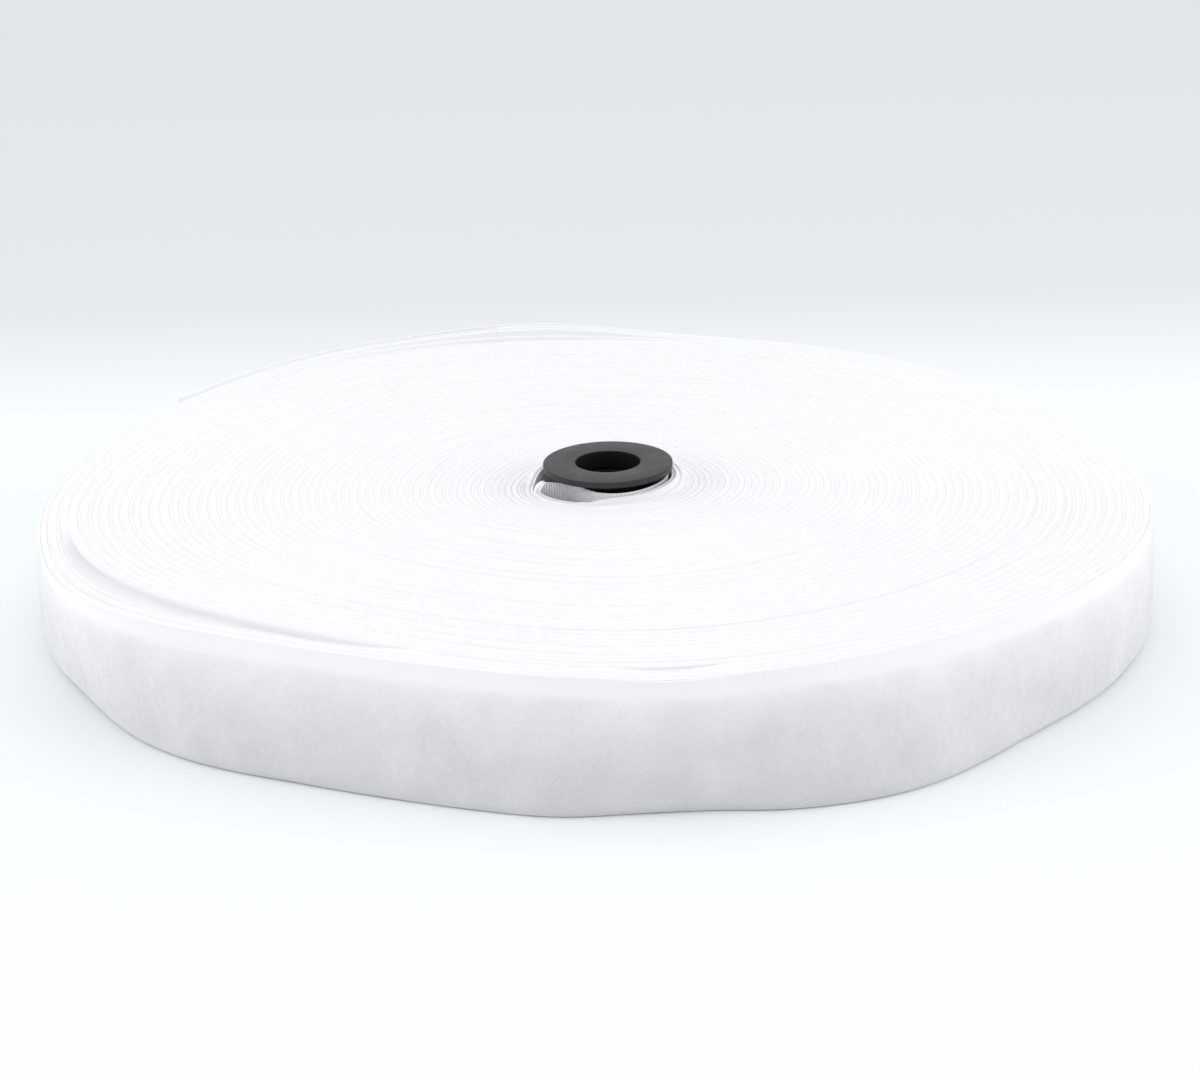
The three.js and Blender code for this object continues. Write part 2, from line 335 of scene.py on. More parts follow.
def right_normals(path):
    """Directions to the right of a path, which is the roll's outside."""
    ahead = np.gradient(path, axis=0)
    ahead /= np.linalg.norm(ahead, axis=1)[:, None]
    return np.stack([ahead[:, 1], -ahead[:, 0]], axis=1)


def swept_tape(name, path, lift, lean, pile, bare, start, materials, ribbed):
    """A closed strip of tape along its upper edge's path, with ribs on its plain side in the first rings."""
    out = right_normals(path)
    rings, corners = len(path), len(SECTION)
    rise = SECTION[:, 2] + np.outer(bare, SECTION[:, 3])
    across = SECTION[:, 0] + np.outer(pile, SECTION[:, 1]) + lean[:, None] * (1 - rise / TAPE_WIDTH)
    plan = path[:, None, :] + out[:, None, :] * across[:, :, None]
    points = np.concatenate([plan, (lift[:, None] + rise)[:, :, None]], axis=2).reshape(-1, 3)
    uv = np.stack([np.repeat(start + lengths(path), corners), rise.ravel()], axis=1)
    a = np.arange(rings - 1)[:, None] * corners + np.arange(corners)
    b = np.arange(rings - 1)[:, None] * corners + (np.arange(corners) + 1) % corners
    quads = np.stack([a, a + corners, b + corners, b], axis=2).reshape(-1, 4)
    cuts = np.arange(rings * corners).reshape(rings, corners)[[0, -1]]
    faces = [*quads.tolist(), cuts[0].tolist(), cuts[1][::-1].tolist()]
    kind = np.full(len(faces), EDGE_SLOT, np.int32)
    strips = kind[: len(quads)].reshape(rings - 1, corners)
    strips[:, list(PILE_FACES)] = np.where(bare[1:, None] > NARROW_BAND, PILE_SLOT, EDGE_SLOT)
    strips[:ribbed, PLAIN_SIDE] = RIBBED_SLOT
    piece = new_mesh(name, points, faces, uv, materials, kind)
    for cut in piece.data.polygons[-2:]:
        cut.use_smooth = False
    return piece


print(f"sweep: {len(SECTION)} faces from each ring to the next")

# %% [markdown]
# ## Tools for finishes
# A finish is a small tree of shader nodes. One function adds a node with its settings and links, and another
# turns the colours that a picture program shows into the linear values that a shader needs. The nodes
# could be placed by hand in the shader editor; a function keeps each finish short enough to read.

# %% Helpers for finishes


def linear(code):
    """A colour such as "#f4f4f2" as linear red, green, blue and alpha."""
    parts = [int(code[i : i + 2], 16) / 255 for i in (1, 3, 5)]
    return (*[c / 12.92 if c <= 0.04045 else ((c + 0.055) / 1.055) ** 2.4 for c in parts], 1)


def set_sockets(tree, node, sockets):
    """Give each socket a value or a link."""
    for key, value in sockets.items():
        if isinstance(value, bpy.types.NodeSocket):
            tree.links.new(value, node.inputs[key])
        else:
            node.inputs[key].default_value = value


def add_node(tree, kind, sockets=None, **settings):
    """A node with its settings and sockets."""
    node = tree.nodes.new(kind)
    for key, value in settings.items():
        setattr(node, key, value)
    set_sockets(tree, node, sockets or {})
    return node


def new_finish(name):
    """A new material, its node tree and its shader."""
    material = bpy.data.materials.new(name)
    material.use_nodes = True
    tree = material.node_tree
    return material, tree, tree.nodes["Principled BSDF"]


print("white as the tape's edge:", [round(c, 3) for c in linear("#f4f4f6")])

# %% [markdown]
# ## Woven nylon
# The tape's plain side shows in the fold and the first turn. It is woven: ribs run across the tape, about
# 0.6 mm apart as seen in the photo, and finer lines run along it. Two sine waves over the tape's map
# draw both as a bump, and in colour as painted shade, darker in the valleys between the ribs and lines.
# A wave texture could do it, but its scale isn't a length. The lines along the tape are finer on real tape
# and drawn a little coarser here, so that the picture can show them.

# %% Woven nylon, white
RIB_SPACING, LINE_SPACING = 0.57, 0.5
LINE_SHARE = 0.3
WEAVE_BUMP = 0.12


def wave(tree, axis, spacing):
    """A sine wave along one axis of the map, with a spacing in millimetres."""
    turn = add_node(tree, "ShaderNodeMath", {0: axis, 1: math.tau / (spacing * MM)}, operation="MULTIPLY")
    return add_node(tree, "ShaderNodeMath", {0: turn.outputs[0]}, operation="SINE")


woven_nylon, tree, shader = new_finish("woven_nylon_white")
uv = add_node(tree, "ShaderNodeUVMap", uv_map="tape")
axes = add_node(tree, "ShaderNodeSeparateXYZ", {0: uv.outputs[0]})
ribs = wave(tree, axes.outputs[0], RIB_SPACING)
lines = wave(tree, axes.outputs[1], LINE_SPACING)
weave = add_node(
    tree, "ShaderNodeMath", {0: lines.outputs[0], 1: LINE_SHARE, 2: ribs.outputs[0]}, operation="MULTIPLY_ADD"
)
shade = add_node(
    tree, "ShaderNodeMapRange", {0: weave.outputs[0], 1: -1 - LINE_SHARE, 2: 1 + LINE_SHARE, 3: 0, 4: 1}
)
# Painted shade: the colour is darker in the valleys of the weave, where the bump is low.
colour = add_node(
    tree, "ShaderNodeMix", {0: shade.outputs[0], 6: linear("#d2d2d7"), 7: linear("#f6f6f8")}, data_type="RGBA"
)
bump = add_node(
    tree, "ShaderNodeBump", {"Strength": 0.6, "Distance": WEAVE_BUMP * MM, "Height": weave.outputs[0]}
)
set_sockets(tree, shader, {
    "Base Color": colour.outputs[2], "Roughness": 0.75, "IOR": 1.53, "Normal": bump.outputs[0],
    "Specular IOR Level": 0.25, "Sheen Weight": 0.1, "Sheen Roughness": 0.6,
})
print("finish:", woven_nylon.name)

# %% [markdown]
# ## Brushed loop pile
# The loops on the outer side are brushed into a soft felt. It is almost white near the upper edge and greyer
# lower down. The grey is painted shade: the shade that the loops cast on each other, deepening towards the
# foot of the wall. So the colour follows the height on the tape's map, made uneven by two noises: tufts of
# about a millimetre and patches of about a centimetre where the loops were pressed. Sheen gives the bright
# rim that cloth has where it turns away from the eye.

# %% Brushed loop pile, white
TUFT, PATCH, TUFT_BUMP = 0.9, 9, 0.15
PATCH_STRETCH = (0.8, 0.8, 1)
PATCH_SHARE, UNEVEN_SHADE = 2, 0.17
PILE_SHADE_BELOW, PILE_SHADE_POWER = 21.3, 0.43

loop_pile, tree, shader = new_finish("brushed_loop_pile_white")
place = add_node(tree, "ShaderNodeTexCoord")
tufts = add_node(tree, "ShaderNodeTexNoise", {
    "Vector": place.outputs["Object"], "Scale": 1 / (TUFT * MM), "Detail": 4.0, "Roughness": 0.65,
})
uv = add_node(tree, "ShaderNodeUVMap", uv_map="tape")
stretched = add_node(tree, "ShaderNodeVectorMath", {0: uv.outputs[0], 1: PATCH_STRETCH}, operation="MULTIPLY")
patches = add_node(
    tree, "ShaderNodeTexNoise", {"Vector": stretched.outputs[0], "Scale": 1 / (PATCH * MM), "Detail": 3.0}
)
summed = {0: patches.outputs[0], 1: PATCH_SHARE, 2: tufts.outputs[0]}
blend = add_node(tree, "ShaderNodeMath", summed, operation="MULTIPLY_ADD")
uneven = add_node(
    tree, "ShaderNodeMapRange", {0: blend.outputs[0], 1: 1.0, 2: 2.0, 3: UNEVEN_SHADE, 4: -UNEVEN_SHADE}
)
axes = add_node(tree, "ShaderNodeSeparateXYZ", {0: uv.outputs[0]})
# Painted shade: the colour greys from the upper band down to the foot of the wall.
below = add_node(tree, "ShaderNodeMapRange", {0: axes.outputs[1], 1: PILE_SHADE_BELOW * MM, 2: 0, 3: 0, 4: 1})
pile_shade_depth = add_node(tree, "ShaderNodeMath", {0: below.outputs[0], 1: PILE_SHADE_POWER}, operation="POWER")
shade = add_node(
    tree, "ShaderNodeMath", {0: pile_shade_depth.outputs[0], 1: uneven.outputs[0]}, operation="ADD", use_clamp=True
)
colour = add_node(
    tree, "ShaderNodeMix", {0: shade.outputs[0], 6: linear("#f6f6f8"), 7: linear("#d3d2d3")}, data_type="RGBA"
)
bump = add_node(
    tree, "ShaderNodeBump", {"Strength": 0.4, "Distance": TUFT_BUMP * MM, "Height": tufts.outputs[0]}
)
set_sockets(tree, shader, {
    "Base Color": colour.outputs[2], "Roughness": 0.95, "IOR": 1.53, "Normal": bump.outputs[0],
    "Specular IOR Level": 0.1, "Sheen Weight": 1.0, "Sheen Roughness": 0.45,
})
print("finish:", loop_pile.name)

# %% [markdown]
# ## Woven edge
# Tape is finished on both sides by a close, smooth edge without loops. On the roll these edges make up the
# whole top, so they set how white it looks. Yarns of about half a millimetre show as a faint noise over the
# tape's map. Single yarns are finer than that, and drawn coarser so that they don't turn into speckle.

# %% Woven edge, white
EDGE_YARN, YARN_BUMP = 0.6, 0.06

woven_edge, tree, shader = new_finish("woven_edge_white")
uv = add_node(tree, "ShaderNodeUVMap", uv_map="tape")
yarns = add_node(tree, "ShaderNodeTexNoise", {
    "Vector": uv.outputs[0], "Scale": 1 / (EDGE_YARN * MM), "Detail": 3.0, "Roughness": 0.6,
})
colour = add_node(
    tree, "ShaderNodeMix", {0: yarns.outputs[0], 6: linear("#f4f4f6"), 7: linear("#fbfbfc")}, data_type="RGBA"
)
bump = add_node(
    tree, "ShaderNodeBump", {"Strength": 0.3, "Distance": YARN_BUMP * MM, "Height": yarns.outputs[0]}
)
set_sockets(tree, shader, {
    "Base Color": colour.outputs[2], "Roughness": 0.7, "IOR": 1.53, "Normal": bump.outputs[0],
    "Specular IOR Level": 0.25, "Sheen Weight": 0.1, "Sheen Roughness": 0.6,
})
TAPE_FINISHES = (woven_edge, loop_pile, woven_nylon)
print("finish:", woven_edge.name)

# %% [markdown]
# ## Moulded plastic
# The core is satin black plastic with a fine mould grain and faint scuffs. One noise roughens the surface as
# a bump, a broader one varies the gloss and the tone a little. Inside a radius the shine is turned down, so
# the bore's wall looks darker: painted shade, for the shade that falls inside the bore. A second material
# would do that as well, but would split the faces at a line that the real piece doesn't have.

# %% Moulded plastic, black
GRAIN, GRAIN_BUMP, SCUFF = 0.25, 0.03, 5
BORE_SHADE_WITHIN, SHINY_BEYOND = 7.05, 7.3
IN_PLAN = (1, 1, 0)

core_plastic, tree, shader = new_finish("moulded_plastic_black")
place = add_node(tree, "ShaderNodeTexCoord")
grain = add_node(
    tree, "ShaderNodeTexNoise", {"Vector": place.outputs["Object"], "Scale": 1 / (GRAIN * MM), "Detail": 3.0}
)
scuffs = add_node(tree, "ShaderNodeTexNoise", {
    "Vector": place.outputs["Object"], "Scale": 1 / (SCUFF * MM), "Detail": 5.0, "Roughness": 0.7,
})
gloss = add_node(tree, "ShaderNodeMapRange", {0: scuffs.outputs[0], 1: 0.3, 2: 0.7, 3: 0.42, 4: 0.56})
two_blacks = {0: scuffs.outputs[0], 6: linear("#1a1a1b"), 7: linear("#222224")}
tone = add_node(tree, "ShaderNodeMix", two_blacks, data_type="RGBA")
bump = add_node(
    tree, "ShaderNodeBump", {"Strength": 0.25, "Distance": GRAIN_BUMP * MM, "Height": grain.outputs[0]}
)
plan = add_node(tree, "ShaderNodeVectorMath", {0: place.outputs["Object"], 1: IN_PLAN}, operation="MULTIPLY")
radius = add_node(tree, "ShaderNodeVectorMath", {0: plan.outputs[0]}, operation="LENGTH")
# Painted shade: less shine within the bore's radius.
shine_and_bore_shade = add_node(tree, "ShaderNodeMapRange", {
    0: radius.outputs["Value"], 1: BORE_SHADE_WITHIN * MM, 2: SHINY_BEYOND * MM, 3: 0.06, 4: 0.5,
})
set_sockets(tree, shader, {
    "Base Color": tone.outputs[2], "Roughness": gloss.outputs[0], "IOR": 1.49, "Normal": bump.outputs[0],
    "Specular IOR Level": shine_and_bore_shade.outputs[0],
})
print("finish:", core_plastic.name)

# %% [markdown]
# ## Room for the loops
# Before the tape is made, each place along it needs the height of its pile and the width of its bare bands.
# In the pack the loops fill the room up to the next turn, a little unevenly. Where the outer turns stand off
# the pack, the loops end a little below the edge, which shows as a shallow recess. The outermost turn carries
# the fine skin that is made later, so its own pile is almost nothing.

# %% Turns, pile and bare bands of the wound tape
STEPS_PER_TURN, OUTER_STEPS_PER_TURN = 96, 400
EDGE_BAND, GAP_BAND, FREE_EDGE_BAND = 0.03, 1.3, 3.6
TIGHT_ROOM, OPEN_ROOM = 2.2, 3.8
LEAST_PILE, MOST_PILE, UNDER_SKIN = 0.2, 9, 0.02
FILLED, UNEVENLY_FILLED, MOST_OVERFILLED = 1.014, 0.008, 1.5
FILLED_SPAN, FILLED_SEED = 0.21, 5
SKIN_TURNS = 1.12
SKIN_TURN = TURNS - SKIN_TURNS

inner_turns = np.arange(0, SKIN_TURN, 1 / STEPS_PER_TURN)
outer_turns = np.arange(SKIN_TURN, FREE_END_TURN, 1 / OUTER_STEPS_PER_TURN)
turn = np.concatenate([inner_turns, outer_turns, [FREE_END_TURN]])
random = wander(turn, FILLED_SPAN, FILLED_SEED)
filled = FILLED + UNEVENLY_FILLED * np.clip(random, -MOST_OVERFILLED, MOST_OVERFILLED)
room = filled * (radius_at(turn + 1) - radius_at(turn))
gap_band = EDGE_BAND + (GAP_BAND - EDGE_BAND) * smooth(room, TIGHT_ROOM, OPEN_ROOM)
outermost = turn > SKIN_TURN
wound_band = np.where(outermost, FREE_EDGE_BAND, gap_band)
wound_pile = np.where(outermost, UNDER_SKIN, np.clip(room - GROUND, LEAST_PILE, MOST_PILE))
print(f"room between turns: {room[~outermost].min():.2f} to {room[~outermost].max():.2f} mm")

# %% [markdown]
# ## The wound tape
# All turns from the folded inner end to the peel line are one strip, as on the real roll. It stands for the
# three tape solids of the roll. Past the fold the loops of the inner end also fill the room up to the first
# ring. Of the plain side, little more than the inner end and the first half turn can be seen, so only these
# are ribbed.

# %% Make the wound tape
PRESSED_PILE = 0.3
FOLD_START, FOLD_STOP = 24, 6
INNER_END_TURNS = 0.3
FIRST_RING = np.arange(0.3, 1.3, 0.005)

count = len(inner_end)
path = np.vstack([inner_end, on_turns(turn)])
all_turns = np.concatenate([np.linspace(-INNER_END_TURNS, 0, count, endpoint=False), turn])
lift = lift_at(all_turns, np.linalg.norm(path, axis=1))
lean = np.concatenate([np.zeros(count), lean_at(turn)])
apart = np.linalg.norm(inner_end[:, None] - on_turns(FIRST_RING), axis=2).min(axis=1)
folded = smooth(np.arange(count), past_fold - FOLD_START, past_fold - FOLD_STOP)
fold_pile = PRESSED_PILE + folded * np.clip(apart - GROUND - PRESSED_PILE, 0, MOST_PILE)
fold_band = FREE_EDGE_BAND + (EDGE_BAND - FREE_EDGE_BAND) * folded
pile = np.concatenate([fold_pile, wound_pile])
bare = np.concatenate([fold_band, wound_band])
wound_length = lengths(path)[-1]
ribbed = count + STEPS_PER_TURN // 2
wound_tape = swept_tape("wound_tape", path, lift, lean, pile, bare, 0, TAPE_FINISHES, ribbed)
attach(wound_tape, "roll")
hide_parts("tape_pack", "tape_inner_turns", "tape_outer_turns")
print(f"wound tape: {wound_length / 1000:.2f} m, {len(wound_tape.data.polygons)} faces")

# %% [markdown]
# ## The free end
# The last stretch is a strip of its own, because it swings at the peel line. It could turn there like a
# door, but then it would tear off the roll. Here its points are baked into place, and it is not bent.

# %% Make the free end
END_RINGS = 40

end_turn = np.linspace(FREE_END_TURN, TURNS, END_RINGS)
end_path = on_turns(end_turn)
end_lift = lift_at(end_turn, np.linalg.norm(end_path, axis=1))
end_pile, end_band = np.full(END_RINGS, UNDER_SKIN), np.full(END_RINGS, FREE_EDGE_BAND)
free_end = swept_tape(
    "free_end", end_path, end_lift, lean_at(end_turn), end_pile, end_band, wound_length, TAPE_FINISHES, 0
)


def swing(piece):
    """Bake the place of a piece of the free end into its points."""
    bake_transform(piece)


swing(free_end)
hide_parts("tape_free_end")

# %% [markdown]
# ## Heights of the loop pile
# Only the outermost turn shows its loops. Seen close they are a matted felt of small tufts. Random heights
# at three sizes describe it: tufts of about a millimetre, a finer roughness, and broad patches where the
# loops were pressed. A displace modifier could do the same from a texture; heights made in code also thin
# out at the two bare bands.

# %% Random heights over the tape
SKIN_STEP = 0.5
SKIN_LOW, SKIN_HIGH = 0.05, 21.6
UPPER_SLOPE, LOWER_SLOPE = 7, 2.2
LEAST_OFF, LEAST_SHARE = 0.02, 0.1
LENGTH_SAMPLES = 400
# Each row: size of the knots, share of the height, seed
ROUGHNESS = [(1.1, 0.08, 31), (0.6, 0.05, 32), (6, 0.18, 33)]
RAGGED_SIZE, RAGGED_EDGE, RAGGED_SEED = 1.6, 0.3, 34


def patchwork(along, height, size, seed):
    """Smooth random values from -1 to 1 over the tape, one knot per size."""
    u, v = along / size, height / size
    knots = np.random.default_rng(seed).uniform(-1, 1, (int(u.max()) + 2, int(v.max()) + 2))
    a, b = u.astype(int), v.astype(int)
    s, t = smooth(u - a, 0, 1), smooth(v - b, 0, 1)
    low = knots[a, b] * (1 - s) + knots[a + 1, b] * s
    high = knots[a, b + 1] * (1 - s) + knots[a + 1, b + 1] * s
    return low * (1 - t) + high * t


def pile_height(along, height):
    """How far the loops stand out at places along and up the tape."""
    rough = sum(share * patchwork(along, height, size, seed) for size, share, seed in ROUGHNESS)
    ragged = RAGGED_EDGE * patchwork(along, height, RAGGED_SIZE, RAGGED_SEED)
    upper = smooth(SKIN_HIGH - height + ragged, 0, UPPER_SLOPE)
    lower = smooth(height - SKIN_LOW, 0, LOWER_SLOPE)
    return LEAST_OFF + upper * lower * np.clip(1 + rough, LEAST_SHARE, None)


skin_length = lengths(on_turns(np.linspace(SKIN_TURN, TURNS, LENGTH_SAMPLES)))[-1]
skin_turns = np.linspace(SKIN_TURN, TURNS, round(skin_length / SKIN_STEP))
split = int(np.argmin(np.abs(skin_turns - FREE_END_TURN)))
skin_turns[split] = FREE_END_TURN
skin_along = lengths(on_turns(skin_turns))
skin_heights = np.arange(SKIN_LOW, SKIN_HIGH + 0.01, SKIN_STEP)
print(f"skin: {len(skin_turns)} by {len(skin_heights)} points")

# %% [markdown]
# ## The pile's skin
# A grid of points every half millimetre lies on the outermost turn and is pushed out by those heights. It is
# cut in two at the peel line: one skin rides with the roll, the other lies on the free end. Both take
# their points from one grid, so that no seam shows while the tape lies on the roll.

# %% Make the pile skins


def on_outside(turn, height, off):
    """Points off the tape's outer face, at heights up the tape."""
    path = on_turns(turn)
    out = right_normals(path)
    across = half + off + lean_at(turn)[:, None] * (1 - height / TAPE_WIDTH)
    plan = path[:, None, :] + out[:, None, :] * across[:, :, None]
    lift = lift_at(turn, np.linalg.norm(path, axis=1))
    return np.concatenate([plan, (lift[:, None] + height)[:, :, None]], axis=2)


def pile_skin(name, rows):
    """The skin over some of its rows, as a mesh of its own."""
    points = skin_points[rows]
    across = points.shape[1]
    a = (np.arange(len(points) - 1)[:, None] * across + np.arange(across - 1)).ravel()
    quads = np.stack([a, a + across, a + across + 1, a + 1], axis=1)
    uv = np.stack([along_grid[rows].ravel(), height_grid[rows].ravel()], axis=1)
    return new_mesh(name, points.reshape(-1, 3), quads.tolist(), uv, (loop_pile,))


along_grid, height_grid = np.meshgrid(skin_along, skin_heights, indexing="ij")
skin_points = on_outside(skin_turns, height_grid, pile_height(along_grid, height_grid))
roll_pile = pile_skin("roll_pile", slice(0, split + 1))
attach(roll_pile, "roll")
end_skin = pile_skin("end_pile", slice(split, None))
swing(end_skin)
print("pile:", len(roll_pile.data.polygons), "and", len(end_skin.data.polygons), "faces")

# %% [markdown]
# ## Where single loops stand
# From the felt some loops stand up on their own and give the wall its soft outline. Each is a tiny arch with
# its feet in the felt. Hair particles could draw them, but they are hard to export, so the arches are
# meshes. Thousands of them would be slow to add one by one, so their points are worked out together.

# %% Places of the loops
LOOPS = 5000
LOOP_SEED = 25
LOOP_MARGIN, FOOT_DEPTH = 0.6, 0.12
CUT_MARGIN_TURNS = 0.002
LOOP_TILT = 0.7
LEAST_SPAN, MOST_SPAN = 0.5, 1.1
LEAST_RISE, MOST_RISE = 0.2, 0.33

rng = np.random.default_rng(LOOP_SEED)
loop_turn = np.sort(rng.uniform(SKIN_TURN, TURNS - CUT_MARGIN_TURNS, LOOPS))
loop_height = rng.uniform(SKIN_LOW + LOOP_MARGIN, SKIN_HIGH - LOOP_MARGIN, LOOPS)
tilt = rng.normal(0, LOOP_TILT, LOOPS)
span = rng.uniform(LEAST_SPAN, MOST_SPAN, LOOPS)
rise = rng.uniform(LEAST_RISE, MOST_RISE, LOOPS)


def at_loops(path):
    """The values of a path along the skin, at the loops' turns."""
    return np.stack([np.interp(loop_turn, skin_turns, path[:, k]) for k in range(2)], axis=1)


skin_path = on_turns(skin_turns)
plan_out, plan_foot = at_loops(right_normals(skin_path)), at_loops(skin_path)
loop_along = np.interp(loop_turn, skin_turns, skin_along)
foot = pile_height(loop_along, loop_height) - FOOT_DEPTH
across = half + foot + lean_at(loop_turn) * (1 - loop_height / TAPE_WIDTH)
loop_lift = lift_at(loop_turn, np.linalg.norm(plan_foot, axis=1))
base = np.column_stack([plan_foot + plan_out * across[:, None], loop_height + loop_lift])
print(f"loops: {LOOPS} places, {span.mean():.1f} mm wide and {rise.mean():.2f} mm high")

# %% [markdown]
# ## The loops as ribbons
# An arch is a ribbon of four faces. Real yarns are finer than a picture can show, so these are drawn a
# little coarser. A ribbon so small would flicker between light and dark as it turns, so each takes the
# wall's own direction for its shading.

# %% Make the loops
YARN = 0.05
ARCH_POINTS = 5
RIBBON_POINTS, RIBBON_FACES = 2 * ARCH_POINTS, ARCH_POINTS - 1

step = np.linspace(0, 1, ARCH_POINTS)
level = np.zeros(LOOPS)
out = np.column_stack([plan_out, level])
ahead = np.column_stack([-plan_out[:, 1], plan_out[:, 0], level])
up = np.array((0, 0, 1.0))
run = np.cos(tilt)[:, None] * ahead + np.sin(tilt)[:, None] * up
side = -np.sin(tilt)[:, None] * ahead + np.cos(tilt)[:, None] * up
arch = base[:, None] + run[:, None] * ((step - 0.5) * span[:, None])[:, :, None]
arch = arch + out[:, None] * (np.sin(np.pi * step) * rise[:, None])[:, :, None]
ribbon = np.stack([arch - side[:, None] * YARN / 2, arch + side[:, None] * YARN / 2], axis=2)


def loop_piece(name, chosen):
    """The chosen loops as one piece."""
    first = np.arange(len(chosen))[:, None] * RIBBON_POINTS + np.arange(0, 2 * RIBBON_FACES, 2)
    quads = np.stack([first, first + 2, first + 3, first + 1], axis=2).reshape(-1, 4)
    uv = np.stack([loop_along[chosen], loop_height[chosen]], axis=1).repeat(RIBBON_POINTS, axis=0)
    piece = new_mesh(name, ribbon[chosen].reshape(-1, 3), quads.tolist(), uv, (woven_edge,))
    piece.data.normals_split_custom_set_from_vertices(out[chosen].repeat(RIBBON_POINTS, axis=0).tolist())
    return piece


roll_loops = loop_piece("roll_loops", np.flatnonzero(loop_turn < FREE_END_TURN))
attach(roll_loops, "roll")
end_loops = loop_piece("end_loops", np.flatnonzero(loop_turn >= FREE_END_TURN))
swing(end_loops)
print("loops:", len(roll_loops.data.polygons), "and", len(end_loops.data.polygons), "faces")

# %% [markdown]
# ## The tape's length
# Unrolled, the tape is a flat strip, and its length and width are what someone would buy. The wound tape's
# length is measured along its path.

# %% [markdown]
# ## Turned pieces
# Each core half is as round as a piece turned on a lathe. It could be spun from a profile with the screw or
# spin tool. A circle drawn out ring by ring gives the same without a seam: extrude the ring, move it up or
# down, and scale it to the next radius, until the last ring meets the first. A bevel then breaks the edges,
# as the mould does.

# %% A turned piece
ROUND_STEPS = 128
WELD = 0.002
BEVEL_STEPS, SHARP_ANGLE = 3, 35


def turned_piece(name, section, bevel):
    """A ring-shaped piece, drawn out of a circle along a closed section of radius and height."""
    bpy.ops.object.select_all(action="DESELECT")
    radius, height = section[0]
    bpy.ops.mesh.primitive_circle_add(vertices=ROUND_STEPS, radius=radius * MM, location=(0, 0, height * MM))
    piece = bpy.context.object
    bpy.ops.object.transform_apply(location=True)
    bpy.ops.object.mode_set(mode="EDIT")
    bpy.ops.mesh.select_mode(type="EDGE")
    bpy.ops.mesh.select_all(action="SELECT")
    for next_radius, next_height in [*section[1:], section[0]]:
        rise = (0, 0, (next_height - height) * MM)
        bpy.ops.mesh.extrude_edges_move(TRANSFORM_OT_translate={"value": rise})
        factor = next_radius / radius
        bpy.ops.transform.resize(value=(factor, factor, 1), center_override=(0, 0, 0))
        radius, height = next_radius, next_height
    bpy.ops.mesh.select_all(action="SELECT")
    bpy.ops.mesh.remove_doubles(threshold=WELD * MM)
    bpy.ops.mesh.normals_make_consistent(inside=False)
    bpy.ops.object.mode_set(mode="OBJECT")
    edges = piece.modifiers.new("edges", "BEVEL")
    edges.width = bevel * MM
    edges.segments = BEVEL_STEPS
    edges.limit_method = "ANGLE"
    bpy.ops.object.modifier_apply(modifier="edges")
    bpy.ops.object.shade_smooth_by_angle(angle=math.radians(SHARP_ANGLE))
    piece.name = piece.data.name = name
    piece.data.materials.append(core_plastic)
    return piece


print(f"turned pieces: {ROUND_STEPS} steps round")

# %% [markdown]
# ## The core
# The upper half is a flange with a barrel that reaches down to the lower flange. The lower half is a flange
# with a spigot that goes up inside the barrel, with a little play. Both take their places from the same few
# sizes, so they fit as the real ones do. The bore runs through both.

# %% Make the core halves
CORE_LENGTH, FLANGE, BORE, BARREL, BARREL_WALL = 29.4, 14, 7, 9.25, 1.1
FLANGE_THICKNESS, MOUTH_DEPTH, FIT = 1.4, 4, 0.3
EDGE_BREAK = 0.22

under = CORE_LENGTH - FLANGE_THICKNESS
ledge = CORE_LENGTH - MOUTH_DEPTH
foot = FLANGE_THICKNESS + FIT
inside = BARREL - BARREL_WALL
core_cap = turned_piece("core_cap", [
    (FLANGE, CORE_LENGTH), (BORE, CORE_LENGTH), (BORE, ledge), (inside, ledge),
    (inside, foot), (BARREL, foot), (BARREL, under), (FLANGE, under),
], EDGE_BREAK)
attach(core_cap, "core_cap")
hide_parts("core_upper_half")
spigot = inside - FIT
core_base = turned_piece("core_base", [
    (FLANGE, 0), (FLANGE, FLANGE_THICKNESS), (spigot, FLANGE_THICKNESS), (spigot, ledge - FIT),
    (BORE, ledge - FIT), (BORE, 0),
], EDGE_BREAK)
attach(core_base, "core")
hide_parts("core_lower_half")
print("core:", len(core_cap.data.polygons), "and", len(core_base.data.polygons), "faces")

# %% [markdown]
# ## The floor
# The photo is a bright studio shot on a white table that fades to a cool grey behind the roll. The grey is
# far behind the roll, where a real sweep would hang. Here the floor itself turns grey with distance, in
# the camera's view only, so that the floor still throws the same white light back on the roll.

# %% Floor
# In metres: the floor's side, and where it turns grey behind the core
FLOOR_SIZE = 12
FADE_START, FADE_STOP = 0.09, 0.28
FAR_START, FAR_STOP = 0.25, 0.8

floor_finish, tree, shader = new_finish("studio_floor")
place = add_node(tree, "ShaderNodeTexCoord")
axes = add_node(tree, "ShaderNodeSeparateXYZ", {0: place.outputs["Object"]})
back = axes.outputs[1]
fade = add_node(
    tree, "ShaderNodeMapRange", {0: back, 1: FADE_START, 2: FADE_STOP}, interpolation_type="SMOOTHSTEP"
)
far = add_node(
    tree, "ShaderNodeMapRange", {0: back, 1: FAR_START, 2: FAR_STOP}, interpolation_type="SMOOTHSTEP"
)
ray = add_node(tree, "ShaderNodeLightPath")
in_view = {0: fade.outputs[0], 1: ray.outputs["Is Camera Ray"]}
seen = add_node(tree, "ShaderNodeMath", in_view, operation="MULTIPLY")
tone = add_node(
    tree, "ShaderNodeMix", {0: far.outputs[0], 6: linear("#e7eaed"), 7: linear("#e2e6e9")}, data_type="RGBA"
)
grey = add_node(tree, "ShaderNodeEmission", {"Color": tone.outputs[2]})
set_sockets(tree, shader, {"Base Color": linear("#f5f9fa"), "Roughness": 1.0, "Specular IOR Level": 0.0})
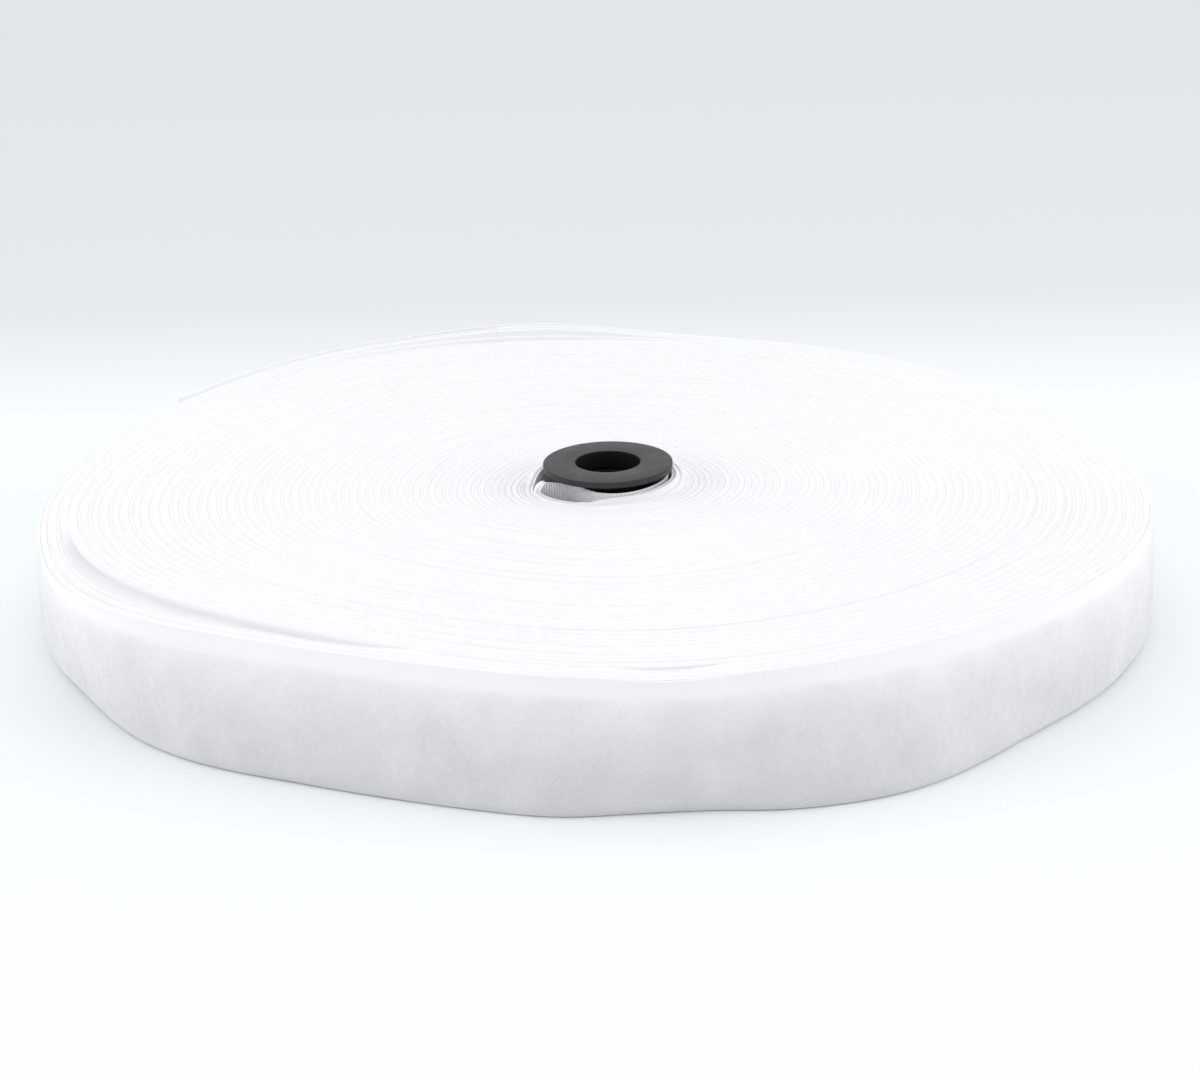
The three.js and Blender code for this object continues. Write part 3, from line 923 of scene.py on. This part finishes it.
mixed = add_node(tree, "ShaderNodeMixShader", {0: seen.outputs[0], 1: shader.outputs[0], 2: grey.outputs[0]})
tree.links.new(mixed.outputs[0], tree.nodes["Material Output"].inputs["Surface"])
bpy.ops.object.select_all(action="DESELECT")
bpy.ops.mesh.primitive_plane_add(size=FLOOR_SIZE, location=(0, 0, 0))
floor = bpy.context.object
floor.name = "floor"
floor.data.materials.append(floor_finish)
print("floor:", floor.name, FLOOR_SIZE, "m")

# %% [markdown]
# ## Light from all round
# On the photo the roll's top is almost as bright as the table, and the front of its wall is the darkest
# part. So most of the light comes from all round: it is dimmer at the front, where the photographer stands,
# and brighter low down at both sides, like two big white screens. Lamps at the sides would do the
# same, but they leave bright spots on the floor near them. Mirrored light has one strength all
# round, which gives the black flange its even satin grey.

# %% Surrounding light
FRONT_STRENGTH, BACK_STRENGTH, SIDE_STRENGTH = 0.66, 0.87, 2.1
FRONT_START, SIDE_START, SIDE_FULL = -0.9, 0.75, 0.97
MIRRORED_STRENGTH = 1.08

world = bpy.data.worlds.new("studio")
world.use_nodes = True
tree = world.node_tree
sky = tree.nodes["Background"]
way = add_node(tree, "ShaderNodeTexCoord")
axes = add_node(tree, "ShaderNodeSeparateXYZ", {0: way.outputs["Object"]})
front = add_node(tree, "ShaderNodeMapRange", {
    0: axes.outputs[1], 1: FRONT_START, 2: 0, 3: FRONT_STRENGTH, 4: BACK_STRENGTH,
})
aside = add_node(tree, "ShaderNodeMath", {0: axes.outputs[0]}, operation="ABSOLUTE")
glow = add_node(tree, "ShaderNodeMapRange", {
    0: aside.outputs[0], 1: SIDE_START, 2: SIDE_FULL, 3: 0, 4: SIDE_STRENGTH,
}, interpolation_type="SMOOTHSTEP")
strength = add_node(tree, "ShaderNodeMath", {0: front.outputs[0], 1: glow.outputs[0]}, operation="ADD")
set_sockets(tree, sky, {"Color": linear("#fcfcfe"), "Strength": strength.outputs[0]})
mirrored = add_node(tree, "ShaderNodeBackground", {"Color": linear("#fbfcff"), "Strength": MIRRORED_STRENGTH})
ray = add_node(tree, "ShaderNodeLightPath")
both = add_node(tree, "ShaderNodeMixShader", {
    0: ray.outputs["Is Glossy Ray"], 1: sky.outputs[0], 2: mirrored.outputs[0],
})
tree.links.new(both.outputs[0], tree.nodes["World Output"].inputs["Surface"])
scene.world = world
print("surrounding light:", FRONT_STRENGTH, "at the front,", BACK_STRENGTH, "at the back")

# %% [markdown]
# ## The lamp overhead
# One broad square lamp above the roll, almost two metres wide, lifts the top and gives the soft shadow at the
# foot of the wall. It is kept low in power, because a stronger one would wash out the turns on the white top.
# The Standard view shows each colour about as it is written.

# %% Overhead lamp
LAMP_PLACE = (0, 0.1, 1.3)
LAMP_SIZE, LAMP_WATTS = 1.8, 4.2

overhead = bpy.data.lights.new("overhead", "AREA")
overhead.shape = "SQUARE"
overhead.size = LAMP_SIZE
overhead.energy = LAMP_WATTS
lamp = bpy.data.objects.new("overhead", overhead)
lamp.location = LAMP_PLACE
scene.collection.objects.link(lamp)
scene.view_settings.view_transform = "Standard"
print("lamp:", lamp.name, LAMP_WATTS, "W")
